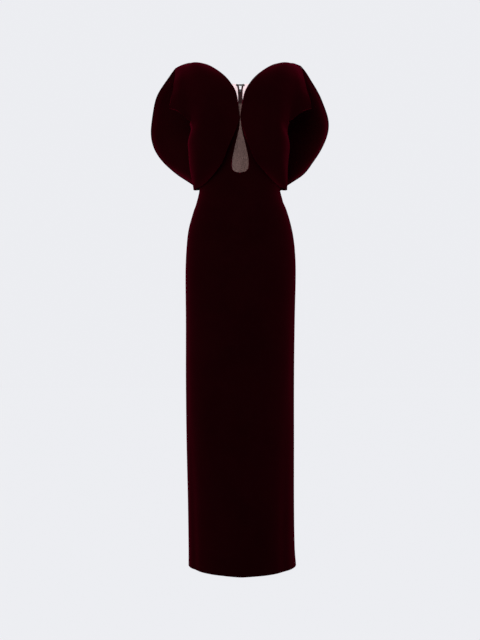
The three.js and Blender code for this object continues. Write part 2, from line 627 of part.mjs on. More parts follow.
// The pull tab hangs from a pin through the lug: two cheeks beside the lug and a flat tab below it.
function addPull(group) {
  const reach = SLIDER.neck / 2 + SEAM;
  const { cheek, wide, long, thick } = PULL;
  const [front, back] = [SLIDER.axis - thick / 2, SLIDER.axis + thick / 2];
  const below = -(SLIDER.lug + SEAM);
  const pin = new THREE.CylinderGeometry(SLIDER.pin, SLIDER.pin, 2 * reach + cheek, 12);
  pin.rotateZ(Math.PI / 2);
  pin.translate(0, SLIDER.axis, 0);
  const cheeks = [-1, 1].map((s) => {
    const [a, b] = [s * reach, s * (reach + cheek)];
    return boxAt([Math.min(a, b), Math.max(a, b)], [front, back], [below - 1, thick / 2]);
  });
  const tab = new THREE.Shape();
  tab.moveTo(-reach - cheek, below);
  tab.lineTo(-wide / 2, below - long + wide / 2);
  tab.absarc(0, below - long + wide / 2, wide / 2, Math.PI, 2 * Math.PI);
  tab.lineTo(reach + cheek, below);
  tab.closePath();
  const plate = new THREE.ExtrudeGeometry(tab, { depth: thick, bevelEnabled: false, curveSegments: 8 });
  plate.rotateX(Math.PI / 2);
  plate.translate(0, back, 0);
  const mesh = add("zip_pull", joined([pin, ...cheeks, plate]), enamel);
  group.add(mesh);
}

// The hook on the wearer's right lies over the eye's bar on the left. Both are flat bars inside the tape.
function addHookAndEye(group) {
  const inner = -(VELVET / 2 + TAPE_GAP + TAPE + 2 * SEAM);
  const { plate, reach, thick, tall, tongue } = HOOK;
  const deep = inner - thick - SEAM;
  const hook = joined([
    boxAt([-plate, -tongue], [inner - thick, inner], [-tall / 2, tall / 2]),
    boxAt([-tongue - thick, -tongue], [deep - thick, inner], [-tall / 2, tall / 2]),
    boxAt([-tongue - thick, reach], [deep - thick, deep], [-tall / 3, tall / 3]),
  ]);
  const eye = boxAt([-tongue + SEAM, plate], [inner - thick, inner], [-tall / 2, tall / 2]);
  group.add(add("hook", hook, enamel));
  group.add(add("eye", eye, enamel));
}

const cloth = (thick) => [-thick / 2, thick / 2];
const inside = (thick, gap = SEAM) => [-(VELVET / 2 + gap + thick), -(VELVET / 2 + gap)];

add("front_panel", wall([frontHalf(-1), frontHalf(1)], ...cloth(VELVET)), velvet);
add("keyhole_net", wall([keyholeNet()], ...inside(NET, NET_GAP)), net);
for (const [side, hand] of [["right", -1], ["left", 1]]) {
  const placed = (grids) => (hand > 0 ? grids.map(mirrored) : grids);
  add(`back_panel_${side}`, wall([backHalf(hand)], ...cloth(VELVET)), velvet);
  add(`yoke_${side}`, wall([yokeHalf(hand)], ...cloth(NET)), net);
  add(`front_petal_${side}`, wall(placed(frontPetal(hand)), ...cloth(PETAL)), velvet);
  add(`back_petal_${side}`, wall(placed(backPetal(hand)), ...cloth(PETAL)), velvet);
  add(`zip_tape_${side}`, wall([zipTape(hand)], ...inside(TAPE, TAPE_GAP)), tape);
}
add("zip_chain", wall([zipChain()], ...inside(ZIP.chainThick, TAPE_GAP)), tape);
const slide = backGroup(ZIP.slider);
addSlider(slide);
addPull(slide);
addHookAndEye(backGroup(HOOK.at));

export default gown;
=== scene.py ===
"""A strapless velvet column gown, hollow as worn, with curved petals round the arms, a net keyhole and a zip.

Sizes are in millimetres in the part's own frame, +Z up, -Y the front, -X the wearer's right, and become
metres where a mesh is made. Each cloth piece is a fine shell on the form of its solid.
"""
import json
import math
from math import pi
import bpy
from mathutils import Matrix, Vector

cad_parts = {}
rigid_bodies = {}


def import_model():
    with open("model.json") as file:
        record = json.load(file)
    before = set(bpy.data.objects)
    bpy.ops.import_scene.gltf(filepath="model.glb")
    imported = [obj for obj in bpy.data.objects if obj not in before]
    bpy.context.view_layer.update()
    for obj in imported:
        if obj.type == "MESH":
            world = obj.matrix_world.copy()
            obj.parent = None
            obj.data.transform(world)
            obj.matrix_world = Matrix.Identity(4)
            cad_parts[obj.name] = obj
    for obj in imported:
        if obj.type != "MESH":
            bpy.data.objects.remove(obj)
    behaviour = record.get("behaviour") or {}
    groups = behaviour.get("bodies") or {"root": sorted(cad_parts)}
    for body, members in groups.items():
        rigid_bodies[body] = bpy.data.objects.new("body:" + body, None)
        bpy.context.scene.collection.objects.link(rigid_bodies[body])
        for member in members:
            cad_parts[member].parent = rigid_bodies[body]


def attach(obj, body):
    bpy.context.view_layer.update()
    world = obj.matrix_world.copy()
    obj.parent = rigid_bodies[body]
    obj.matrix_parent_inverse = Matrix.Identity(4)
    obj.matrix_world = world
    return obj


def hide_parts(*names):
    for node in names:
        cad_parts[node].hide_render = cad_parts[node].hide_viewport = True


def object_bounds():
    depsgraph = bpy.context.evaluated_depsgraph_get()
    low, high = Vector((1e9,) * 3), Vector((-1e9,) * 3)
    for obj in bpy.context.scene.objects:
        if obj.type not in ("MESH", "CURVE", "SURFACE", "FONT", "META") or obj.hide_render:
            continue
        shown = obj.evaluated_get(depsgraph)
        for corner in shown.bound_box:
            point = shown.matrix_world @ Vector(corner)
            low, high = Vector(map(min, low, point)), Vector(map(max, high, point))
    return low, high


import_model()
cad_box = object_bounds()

from types import SimpleNamespace as Sizes

import bpy
import numpy as np

scene = bpy.context.scene

MM = 0.001
LEFTWARDS = np.array([1.0, 0, 0])  # towards the wearer's left

# ---- sizes

HEM = -1134
# The walls of the cloths.
VELVET = 2.5
PETAL = 3
NET = 1
TAPE = 1
# Gaps: at a seam, between a side's petals at their ridge, under a tacked petal, over the net and the tape.
SEAM = 0.3
RIDGE_SEAM = 0.6
TACKED = 0.8
NET_GAP = 0.9
TAPE_GAP = 0.5
CLOSED = 0.02  # between the two cloths of a side seam, which is drawn shut
CUP = Sizes(rise=18, out=78, up=158, spread=42, fade=60)
KEYHOLE = Sizes(bottom=28, corner=20, square=2.6, lap=8, narrowest=5)
NET_TOP = 226
YOKE_TOP = Sizes(middle=336, side=344)
YOKE_SIDE = Sizes(foot=0.12, lean=0.1)
VENT_TOP = -700
BACK_GAP = 0.8
ZIP = Sizes(foot=-185, slider=316, tape_from=1.8, tape_wide=5.2, below_top=1, chain_thick=1.6)
SLIDER = Sizes(half=3.2, tall=4, thick=2.4, neck=1.6, lug=2, axis=3, pin=0.8)
PULL = Sizes(cheek=1, wide=6, long=15, thick=1.6)
HOOK = Sizes(at=333, plate=13.5, reach=6, tongue=4.2, thick=0.8, tall=4.6)
TRIMMED = Sizes(start=120, over=60)
UNDER_ARM_END = 0.03
CHAIN_TOP = ZIP.slider - SLIDER.tall - SEAM
TACK_OFF = VELVET / 2 + TACKED + PETAL / 2  # from the body's surface to the middle of a petal tacked to it


def table(names, *rows):
    """The rows' values by column name. A column of points becomes an array of them."""
    return {name: np.array([row[i] for row in rows], float) for i, name in enumerate(names.split())}


FIGURE = table(
    "z half front back round shift",
    (HEM, 160, 126, 124, 1.75, 6),
    (-1080, 158, 124, 122, 1.78, 4),
    (-940, 158, 122, 122, 1.82, 2),
    (-760, 160, 120, 122, 1.88, 0),
    (-580, 161, 118, 124, 1.94, -1),
    (-400, 162, 114, 128, 2, 0),
    (-255, 164, 108, 131, 2.05, 1),
    (-185, 161, 104, 127, 2.08, 1),
    (-130, 154, 101, 117, 2.1, 0),
    (-75, 139, 97, 102, 2.12, 0),
    (-38, 126, 94, 92, 2.12, -1),
    (0, 119, 93, 85, 2.12, -1.5),
    (60, 122, 97, 88, 2.15, 0),
    (120, 131, 102, 97, 2.2, 0),
    (172, 139, 104.5, 104, 2.25, 0),
    (230, 144, 100, 109, 2.3, 0),
    (290, 148, 92, 107, 2.3, 0),
    (350, 150, 80, 99, 2.3, 0),
)

KEYHOLE_SIDE = table(
    "z half",
    (28, 23.8),
    (66, 23.2),
    (96, 17.3),
    (128, 9.4),
    (152, 3.7),
    (164, 2),
    (184, 3),
    (206, 8),
)

FRONT_TOP = table("round z", (0, 172), (0.35, 196), (0.7, 212), (1, 204))
BACK_TOP = table("round z", (0, 172), (0.4, 214), (1, 240))

FRONT_PETAL = table(
    "neck breast flank roll",
    ((-117, -45, -5), (-122, -47, -8), (-130, -43, -11), (-137, -30, -13)),
    ((-94, -75, 9), (-108, -79, 5), (-126, -72, 0), (-136, -50, -5)),
    ((-68, -105, 33), (-90, -110, 30), (-121, -102, 26), (-138, -75, 21)),
    ((-49, -124, 58), (-78, -131, 58), (-117, -124, 57), (-142, -92, 55)),
    ((-35, -134, 93), (-68, -144, 94), (-113, -139, 93), (-144, -103, 91)),
    ((-21, -132, 125), (-60, -148, 126), (-110, -144, 124), (-144, -108, 121)),
    ((-9.4, -122, 156), (-52, -146, 156), (-106, -146, 154), (-136, -112, 152)),
    ((-1.5, -114, 178), (-48, -143, 179), (-104, -146, 179), (-140, -112, 172)),
    ((-3.6, -113, 198), (-50, -141, 200), (-103, -146, 201), (-143, -116, 200)),
    ((-9.7, -117, 245), (-54, -138, 246), (-105, -141, 246), (-150, -114, 245)),
    ((-24, -116, 276), (-62, -132, 277), (-108, -133, 278), (-153, -106, 277)),
    ((-48, -105, 306), (-77, -117, 309), (-116, -118, 310), (-155, -94, 306)),
    ((-85, -80, 338), (-105, -87, 340), (-131, -86, 341), (-156, -68, 338)),
    ((-113, -50, 355), (-124, -53, 356.5), (-140, -51, 357), (-156, -42, 354)),
    ((-141, -10, 367.5), (-145, -9, 368), (-150, -8, 367.5), (-156, -7, 366.5)),
)

# How much nearer the middle the left petal lies than the right one, for its first rows: its neck edge, its
# roll and its turn under the arm. The breast line follows the neck edge by a share.
LEFT_NEARER = table(
    "neck roll turn",
    (0, 0, 0),
    (0, 0.6, 0.6),
    (1.5, 4, 4),
    (6, 8, 8),
    (8, 6.5, 7),
    (7.5, 8, 8),
    (3.6, 7.5, 6),
    (0.5, 2, 5.5),
    (2.2, 0.5, 0),
)
BREAST_FOLLOWS = 0.35

UNDER_ARM = table(
    "turn seam",
    ((-136, -15, -12), -9),
    ((-137, -28, -5), -4),
    ((-141, -42, 18), 18),
    ((-145.5, -52, 53), 52),
    ((-147.5, -58, 90), 88),
    ((-148.5, -60, 121), 118),
    ((-142.5, -62, 151), 146),
    ((-145, -62, 171), 167),
)

CAP = table(
    "turn edge trim",
    ((-172, -106, 196), (-206, -88, 213), 0),
    ((-175, -104, 211), (-204.5, -86, 228), 0),
    ((-177, -101, 247), (-200, -82, 249), 0),
    ((-176, -93, 275), (-196, -74, 271), 2),
    ((-176, -80, 303), (-193, -62, 298), 4),
    ((-176, -57, 330), (-192, -46, 317), 6),
    ((-177, -35, 348), (-193, -28, 335), 8),
    ((-177, -5, 360.5), (-195.5, -4, 352), 13),
)
NOTCH_ROW = len(FRONT_PETAL["neck"]) - len(CAP["turn"])

RIDGE = table("reach z", (141, 367.5), (157, 367.3), (177, 361.5), (195.5, 352))
RIDGE_PLAN = Sizes(reach=141, y=-10, slope=0.11)

BACK_PETAL = table(
    "rim turn blade spine middle trim",
    ((-118, 11, -7), (-115, 24, -7), (-110, 37, -7), (-104, 46, -7), (-98, 54.5, -6), 0),
    ((-150, 12, 14), (-146, 38, 14), (-134, 61, 12), (-116, 75, 11), (-95, 83, 12), -2),
    ((-192, 18, 42), (-183, 56, 41), (-159, 90, 38), (-119, 108, 36), (-72, 108, 38), 1),
    ((-231, 24, 79), (-222, 72, 75), (-185, 110, 70), (-120, 130, 68), (-50, 121, 70), 12),
    ((-258, 28, 116), (-247, 80, 112), (-200, 122, 108), (-118, 140, 106), (-34, 120, 108), 15),
    ((-270, 30, 162), (-259, 84, 160), (-208, 128, 158), (-115, 142, 156), (-21, 107, 152), 7),
    ((-267, 28, 208), (-256, 82, 206), (-206, 127, 205), (-113, 141, 203), (-16, 111, 196), 1),
    ((-259, 22, 252), (-248, 76, 251), (-199, 120, 250), (-114, 136, 248), (-27, 112, 240), 8),
    ((-246, 16, 286), (-235, 66, 288), (-191, 107, 290), (-120, 124, 290), (-50, 110, 284), 11),
    ((-223, 10, 319), (-215, 50, 322), (-183, 84, 326), (-132, 103, 326), (-84, 101, 319), 9),
    ((-204, 2, 343), (-198, 28, 348), (-178, 50, 352), (-146, 64, 352), (-114, 70, 347), 7),
    ((-195.5, -4, 352), (-186, -5, 357), (-174, -6, 362), (-157, -8, 366.5), (-141, -10, 367.5), 13),
)
TACKED_ROWS = Sizes(first=5, last=8)

BACK_EDGE = table(
    "z gap",
    (HEM, 3),
    (-900, 1.6),
    (VENT_TOP, 0.15),
    (ZIP.foot, 0.15),
    (ZIP.foot + 28, BACK_GAP),
    (300, BACK_GAP),
    (314, 1.2),
    (324, 2.4),
    (YOKE_TOP.middle, 4.8),
)

# Soft folds of the body by angle round it (0 at the wearer's left side, 90 at the back, -90 in front), with
# the heights between which each runs, how far it leans on the way up and its half width, both in degrees,
# and its depth, which is outwards where it is negative.
BODY_FOLDS = table(
    "angle foot top lean width depth",
    (-112, -1134, -640, 5, 9, 2.2),
    (-74, -1134, -760, -6, 8, 1.7),
    (-38, -1134, -520, 6, 7, 2.6),
    (-152, -1134, -480, -5, 7, 2.8),
    (-92, -1134, -900, 2, 6, -1.2),
    (-20, -700, -190, 4, 6, 1.6),
    (-163, -820, -260, -3, 6, 1.4),
    (28, -1134, -430, 5, 9, 3.4),
    (52, -1134, -330, -6, 7, 2.8),
    (74, -1134, -560, 4, 6, 3.1),
    (108, -1134, -500, -4, 6, 2.7),
    (131, -1134, -360, 6, 8, 3.6),
    (157, -1134, -520, -5, 8, 3),
    (64, -330, -20, 9, 5, 1.3),
    (119, -300, -40, -8, 5, 1.5),
)

# Short drag lines across the waist, by the height and angle of their middle, how far they reach to either
# side in degrees, how much they rise over that, half width and depth in millimetres.
WAIST_LINES = table(
    "z angle reach rise width depth",
    (-22, -18, 24, 10, 7, 1.1),
    (-52, -10, 20, 14, 8, 0.9),
    (-30, -160, 22, -12, 7, 1.2),
    (-66, -168, 18, -16, 8, 0.8),
    (-14, 38, 26, 8, 6, 1.4),
    (-44, 30, 24, 13, 7, 1.2),
    (-20, 143, 27, -9, 6, 1.5),
    (-49, 150, 22, -14, 7, 1.1),
    (12, 62, 18, 5, 6, 1.2),
    (16, 118, 19, -6, 6, 1.1),
)

# Shares of a fold's length where it starts to fade and has swelled in, and how much wider it grows. A drag
# line's ends fade the sooner the higher LINE_ENDS is.
FOLD = Sizes(fades_from=0.25, swells_by=0.3, widens=0.5)
LINE_ENDS = 1.4

# ---- form


def read(rows, at, name):
    """Values from a table by its first column, smooth from row to row."""
    knots, values = next(iter(rows.values())), rows[name]
    last = len(knots) - 1
    before, after = np.maximum(np.arange(last + 1) - 1, 0), np.minimum(np.arange(last + 1) + 1, last)
    slopes = (values[after] - values[before]) / (knots[after] - knots[before])
    at = np.asarray(at, float)
    k = np.clip(np.searchsorted(knots, at, "right") - 1, 0, last - 1)
    width = knots[k + 1] - knots[k]
    t = np.clip((at - knots[k]) / width, 0, 1)
    return (
        (2 * t**3 - 3 * t**2 + 1) * values[k]
        + (t**3 - 2 * t**2 + t) * width * slopes[k]
        + (3 * t**2 - 2 * t**3) * values[k + 1]
        + (t**3 - t**2) * width * slopes[k + 1]
    )


def power(value, exponent):
    return np.sign(value) * np.abs(value) ** exponent


def smoothstep(value, low, high):
    t = np.clip((value - low) / (high - low), 0, 1)
    return t * t * (3 - 2 * t)


def body_point(turn, z):
    """The body's surface at an angle round it and a height."""
    turn, z = np.broadcast_arrays(np.asarray(turn, float), np.asarray(z, float))
    lean = 2 / read(FIGURE, z, "round")
    x = read(FIGURE, z, "half") * power(np.cos(turn), lean)
    depth = np.where(np.sin(turn) < 0, read(FIGURE, z, "front"), read(FIGURE, z, "back"))
    y = depth * power(np.sin(turn), lean)
    high = (z - CUP.up) / CUP.spread
    bust = sum(np.exp(-(((x - side * CUP.out) / CUP.spread) ** 2 + high**2) / 2) for side in (-1, 1))
    y = y - CUP.rise * bust * np.clip(-y / CUP.fade, 0, 1)
    return np.stack([x + read(FIGURE, z, "shift"), y, z], -1)


def unit(vectors):
    return vectors / np.maximum(np.linalg.norm(vectors, axis=-1, keepdims=True), 1e-12)


def body_normal(turn, z):
    step, rise = 0.02, 2
    around = body_point(turn + step, z) - body_point(turn - step, z)
    up = body_point(turn, z + rise) - body_point(turn, z - rise)
    return unit(np.cross(around, up))


def turn_at(across, z, side):
    """The angle where the body is across millimetres from its middle: side is -1 in front, 1 at the back."""
    share = across / read(FIGURE, z, "half")
    return side * np.arccos(np.clip(power(share, read(FIGURE, z, "round") / 2), -1, 1))


def plain_body(across, z, side, off=0.0):
    """Points and normals of the body without its folds, across millimetres from its middle."""
    return body_vertices(turn_at(across, z, side), z, off, folded=False)


def wrapped(degrees):
    """The same angle between -180 and 180."""
    return (degrees + 180) % 360 - 180


def body_folds(turn, z):
    """How far folds and drag lines take the body's cloth inwards."""
    degrees = np.degrees(turn)
    inwards = np.zeros(np.broadcast(turn, z).shape)
    for angle, foot, top, lean, width, depth in zip(*BODY_FOLDS.values()):
        along = np.clip((z - foot) / (top - foot), 0, 1)
        off = wrapped(degrees - angle - lean * along)
        fade = 1 - smoothstep(along, FOLD.fades_from, 1)
        if foot > HEM:
            fade = fade * smoothstep(along, 0, FOLD.swells_by)
        inwards += depth * fade * np.exp(-((off / (width * (1 + FOLD.widens * along))) ** 2))
    for height, angle, reach, rise, width, depth in zip(*WAIST_LINES.values()):
        off = wrapped(degrees - angle) / reach
        line = (z - height - rise * off) / width
        inwards += depth * np.exp(-(line**2)) * np.exp(-((off * LINE_ENDS) ** 4))
    return inwards


def body_vertices(turn, z, off=0.0, folded=True):
    """Points and normals of the body's surface, or of one off millimetres out of it."""
    turn, z = np.broadcast_arrays(np.asarray(turn, float), np.asarray(z, float))
    normal = body_normal(turn, z)
    inwards = body_folds(turn, z) if folded else 0 * z
    return body_point(turn, z) + normal * (off - inwards)[..., None], normal


def natural_spline(points, at):
    """A curve with no kink in its bend through points along axis 0, at places counted in points."""
    count = len(points)
    system = np.zeros((count, count))
    right = np.zeros(points.shape)
    system[0, 0] = system[-1, -1] = 1
    for k in range(1, count - 1):
        system[k, k - 1 : k + 2] = (1, 4, 1)
        right[k] = 6 * (points[k - 1] - 2 * points[k] + points[k + 1])
    bend = np.linalg.solve(system, right.reshape(count, -1)).reshape(points.shape)
    at = np.clip(np.asarray(at, float), 0, count - 1)
    k = np.minimum(at.astype(int), count - 2)
    b = (at - k).reshape((-1,) + (1,) * (points.ndim - 1))
    a = 1 - b
    return a * points[k] + b * points[k + 1] + ((a**3 - a) * bend[k] + (b**3 - b) * bend[k + 1]) / 6


def with_normals(points):
    up = np.gradient(points, axis=0)
    across = np.gradient(points, axis=1)
    return points, unit(np.cross(across, up))


# ---- meshes

WELD_STEPS = 500  # to a millimetre: points that round to the same steps are one point


def add_object(name, data):
    added = bpy.data.objects.new(name, data)
    scene.collection.objects.link(added)
    return added


def make_mesh(name, points, faces, sharp=None):
    """A smooth mesh from millimetres. Edges bent by more than sharp degrees, where given, stay sharp."""
    mesh = bpy.data.meshes.new(name)
    mesh.from_pydata([tuple(p) for p in np.asarray(points) * MM], [], [tuple(map(int, f)) for f in faces])
    mesh.update()
    mesh.polygons.foreach_set("use_smooth", [True] * len(mesh.polygons))
    if sharp is not None:
        mesh.set_sharp_from_angle(angle=math.radians(sharp))
    return add_object(name, mesh)


def lengths(points, axis):
    """How far along the cloth each point of a grid is, in metres from its first row or column."""
    gaps = np.linalg.norm(np.diff(points, axis=axis), axis=-1)
    return np.concatenate([np.zeros_like(np.take(gaps, [0], axis)), np.cumsum(gaps, axis)], axis) * MM


def weld(grids):
    """The points, normals, cloth coordinates and quads of grids, joined where they share points."""
    known, points, normals, cuts, quads = {}, [], [], [], []
    for grid_points, grid_normals in grids:
        rows, columns = grid_points.shape[:2]
        across, along = lengths(grid_points, 1), lengths(grid_points, 0)
        ids = np.empty((rows, columns), int)
        for j in range(rows):
            for i in range(columns):
                key = tuple(np.round(grid_points[j, i] * WELD_STEPS).astype(int))
                if key not in known:
                    known[key] = len(points)
                    points.append(grid_points[j, i])
                    normals.append(np.zeros(3))
                    cuts.append((across[j, i] - across[j, -1] / 2, along[j, i], 0))
                ids[j, i] = known[key]
                normals[ids[j, i]] = normals[ids[j, i]] + grid_normals[j, i]
        middle = rows // 2, columns // 2
        facing = np.cross(
            grid_points[middle[0], middle[1] + 1] - grid_points[middle],
            grid_points[middle[0] + 1, middle[1]] - grid_points[middle],
        )
        way = 1 if facing @ grid_normals[middle] > 0 else -1
        for j in range(rows - 1):
            for i in range(columns - 1):
                quad = [ids[j, i], ids[j, i + 1], ids[j + 1, i + 1], ids[j + 1, i]][::way]
                quad = [q for n, q in enumerate(quad) if q != quad[n - 1]]
                if len(quad) > 2:
                    quads.append(quad)
    return np.array(points), unit(np.array(normals)), cuts, quads


RIM_ANGLES = (90, 45, 0, -45, -90)  # round an edge from the outer face to the inner one


def shell(name, grids, near, far, rim=0.5):
    """The closed wall between two offsets of grids, its edges rounded by rim times half the wall."""
    points, normals, cuts, quads = weld(grids)
    edges = {(q[n - 1], q[n]) for q in quads for n in range(len(q))}
    border = {a: b for a, b in edges if (b, a) not in edges}
    before = {b: a for a, b in border.items()}
    count, half = len(points), (far - near) / 2
    base = points + normals * (near + far) / 2
    vertices = [*(base + normals * half), *(base - normals * half)]
    cuts = cuts + cuts
    rings = {}
    for a in border:
        out = unit(np.cross(points[border[a]] - points[before[a]], normals[a]))
        ring = []
        for angle in np.radians(RIM_ANGLES):
            ring.append(base[a] + normals[a] * half * np.sin(angle) - out * half * rim * (1 - np.cos(angle)))
        vertices[a], vertices[a + count] = ring[0], ring[-1]
        between = ring[1:-1]
        rings[a] = [a, *range(len(vertices), len(vertices) + len(between)), a + count]
        vertices.extend(between)
        cuts.extend([cuts[a]] * len(between))
    faces = [list(q) for q in quads] + [[i + count for i in q[::-1]] for q in quads]
    for a, b in border.items():
        for n in range(len(RIM_ANGLES) - 1):
            faces.append([rings[b][n], rings[a][n], rings[a][n + 1], rings[b][n + 1]])
    piece = make_mesh(name, vertices, faces)
    attribute = piece.data.attributes.new("cut", "FLOAT_VECTOR", "POINT")
    attribute.data.foreach_set("vector", np.array(cuts, float).ravel())
    return piece


def edged(values):
    """Places along a grid, with one more close to each end, so that the edge's rounding stays narrow."""
    share = 0.3
    first = values[0] + (values[1] - values[0]) * share
    last = values[-1] - (values[-1] - values[-2]) * share
    return np.concatenate([values[:1], [first], values[1:-1], [last], values[-1:]])


# ---- cloth pieces

STEP = 8  # between the rows of the body's cloth, but for the front's bodice
FRONT_LEVEL, BACK_LEVEL = 164, 120  # up to which those rows are level
PETAL_ROWS, PETAL_COLUMNS = 9, 14  # mesh rows and columns to each row and column of a petal's table


def keyhole_half(z):
    """Half the keyhole's width at a height. The corners of its foot are rounded."""
    side = read(KEYHOLE_SIDE, z, "half")
    foot = np.clip((z - KEYHOLE.bottom) / KEYHOLE.corner, 0, 1)
    return side * np.maximum(1 - (1 - foot) ** KEYHOLE.square, 0) ** (1 / KEYHOLE.square)


def side_turn(side, z):
    """The angle that is just inside the side seam, towards the front or the back."""
    close = 0.05
    length = np.linalg.norm(body_point(side * close, z) - body_point(0, z), axis=-1)
    return close * CLOSED / 2 / length


def back_gap(z):
    """How far each side's edge is from the centre back."""
    return np.interp(z, BACK_EDGE["z"], BACK_EDGE["gap"])


def back_middle(hand, z):
    """The angle of one side's edge at the centre back."""
    return turn_at(hand * back_gap(z), z, 1)


def top_rows(rows, table_of_top, round_share, count):
    """Heights of all the rows: the level ones given, then more that rise to the shaped top edge. There is one
    column for each share."""
    last = rows[-1]
    top = read(table_of_top, round_share, "z")
    rises = edged(np.linspace(0, 1, count))[2:]
    level = np.repeat(rows[:, None], len(round_share), 1)
    return np.concatenate([level, last + (top - last) * rises[:, None]])


def front_half(hand):
    share = edged(np.linspace(0, 1, 49))
    bottom, corner = KEYHOLE.bottom, KEYHOLE.corner
    skirt = np.arange(HEM, bottom - STEP / 2, STEP)
    foot = bottom + corner * np.linspace(0, 1, 13) ** 2.2
    bodice = np.arange(bottom + corner + STEP / 2, FRONT_LEVEL, 5)
    rows = edged(np.concatenate([skirt, foot, bodice, [FRONT_LEVEL]]))
    z = top_rows(rows, FRONT_TOP, share, 8)
    side = -side_turn(-1, z) if hand > 0 else side_turn(-1, z) - pi
    middle = turn_at(hand * keyhole_half(z), z, -1)
    return body_vertices(side + (middle - side) * share, z)


def back_half(hand):
    share = edged(np.linspace(0, 1, 45))
    rows = edged(np.append(np.arange(HEM, BACK_LEVEL - STEP / 2, STEP), BACK_LEVEL))
    z = top_rows(rows, BACK_TOP, share, 17)
    side = side_turn(1, z) if hand > 0 else pi - side_turn(1, z)
    return body_vertices(side + (back_middle(hand, z) - side) * share, z)


def yoke_half(hand):
    share, rise = np.meshgrid(np.linspace(0, 1, 33), np.linspace(0, 1, 37))
    around = share + (YOKE_SIDE.foot + YOKE_SIDE.lean * rise) * (1 - share)
    foot = read(BACK_TOP, around, "z") + SEAM + VELVET / 4
    top = YOKE_TOP.side + (YOKE_TOP.middle - YOKE_TOP.side) * share
    z = foot + (top - foot) * rise
    side = 0 if hand > 0 else pi
    return body_vertices(side + (back_middle(hand, z) - side) * around, z, folded=False)


def keyhole_net(low, high, inset=0.0):
    """The keyhole's net between two heights, which laps under the velvet at its sides."""
    z = np.linspace(low, high, max(4, int((high - low) / 3)))[:, None]
    open_half = keyhole_half(np.maximum(z, KEYHOLE.bottom + KEYHOLE.corner))
    half = np.maximum(open_half, KEYHOLE.narrowest) + KEYHOLE.lap
    share = np.linspace(-1, 1, 25)[None, :]
    return plain_body(share * (half - inset), z, -1)


def zip_tape(hand):
    """The tape of one side of the zip, inside the back. It parts from the other one above the slider."""
    top = YOKE_TOP.middle - ZIP.below_top
    z = np.append(np.arange(ZIP.foot, top, 4.0), top)[:, None]
    parted = np.maximum(back_gap(z) - BACK_GAP, 0)
    across = ZIP.tape_from + parted + ZIP.tape_wide * np.linspace(0, 1, 5)[None, :]
    return plain_body(hand * across, z, 1)


def ridge_at(x):
    y = RIDGE_PLAN.y + RIDGE_PLAN.slope * (-x - RIDGE_PLAN.reach)
    return np.stack([x, y, read(RIDGE, -x, "z")], -1)


def trimmed(points, trim, hand):
    """The wearer's left petals, hand 1, reach a little less far out. Points are still on the right."""
    share = np.clip((-points[:, 0] - TRIMMED.start) / TRIMMED.over, 0, 1)
    return points + LEFTWARDS * (max(hand, 0) * trim * share)[:, None]


def end_on_ridge(line, side):
    line[-1] = ridge_at(line[-1, 0]) + np.array([0, side * RIDGE_SEAM / 2, 0])
    return line


def square_end(grid):
    """Turns a petal's last row of normals into the upright plane along the ridge, where petals meet."""
    points, normals = grid
    along = np.gradient(points[-1], axis=0)
    upright = unit(np.stack([-along[:, 2], 0 * along[:, 0], along[:, 0]], -1))
    normals[-1] = upright * np.sign((upright * normals[-1]).sum(-1))[:, None]
    return points, normals


SWING_ROWS = 2.5  # either side of the notch, over which the lines under the arm give way to the cap's


def spread(first, last, count):
    """Mesh places from one row or column of a table to another, count to each."""
    return edged(np.linspace(first, last, (last - first) * count + 1))


def front_petal(hand):
    """The face of a front petal, its side under the arm and its cap over it, on the wearer's right."""
    shared = [line.copy() for line in FRONT_PETAL.values()]
    seam = body_vertices(-pi - UNDER_ARM_END, UNDER_ARM["seam"], TACK_OFF, folded=False)[0]
    low = [UNDER_ARM["turn"].copy(), seam]
    high = [trimmed(CAP[name], CAP["trim"], hand) for name in ("turn", "edge")]
    if hand > 0:
        neck, breast, _, roll = shared
        for line, nearer in (
            (neck, LEFT_NEARER["neck"]),
            (breast, LEFT_NEARER["neck"] * BREAST_FOLLOWS),
            (roll, LEFT_NEARER["roll"]),
            (low[0], LEFT_NEARER["turn"]),
        ):
            count = min(len(line), len(nearer))
            line[:count, 0] += nearer[:count]
    for line in (*shared, *high):
        end_on_ridge(line, -1)
    top = len(shared[0]) - 1
    low_rows, high_rows = (spread(*ends, PETAL_ROWS) for ends in ((0, NOTCH_ROW), (NOTCH_ROW, top)))
    rows = np.concatenate([low_rows, high_rows[1:]])
    lines = [natural_spline(line, rows) for line in shared]
    lower = [natural_spline(line, np.minimum(rows, NOTCH_ROW)) for line in low]
    upper = [natural_spline(line, np.maximum(rows - NOTCH_ROW, 0)) for line in high]
    columns = spread(0, len(lines) + 1, PETAL_COLUMNS)
    with_low, with_high = (
        np.swapaxes(natural_spline(np.stack(lines + others), columns), 0, 1) for others in (lower, upper)
    )
    swing = smoothstep(rows, NOTCH_ROW - SWING_ROWS, NOTCH_ROW + SWING_ROWS)[:, None, None]
    roll, notch = np.searchsorted(columns, len(lines) - 1), np.searchsorted(rows, NOTCH_ROW)
    face = with_low[:, : roll + 1] * (1 - swing) + with_high[:, : roll + 1] * swing
    under = with_low[: notch + 1, roll:]
    cap = with_high[notch:, roll:]
    face = waved(with_normals(face), FRONT_WAVES)
    return [square_end(face), with_normals(under), square_end(with_normals(cap))]


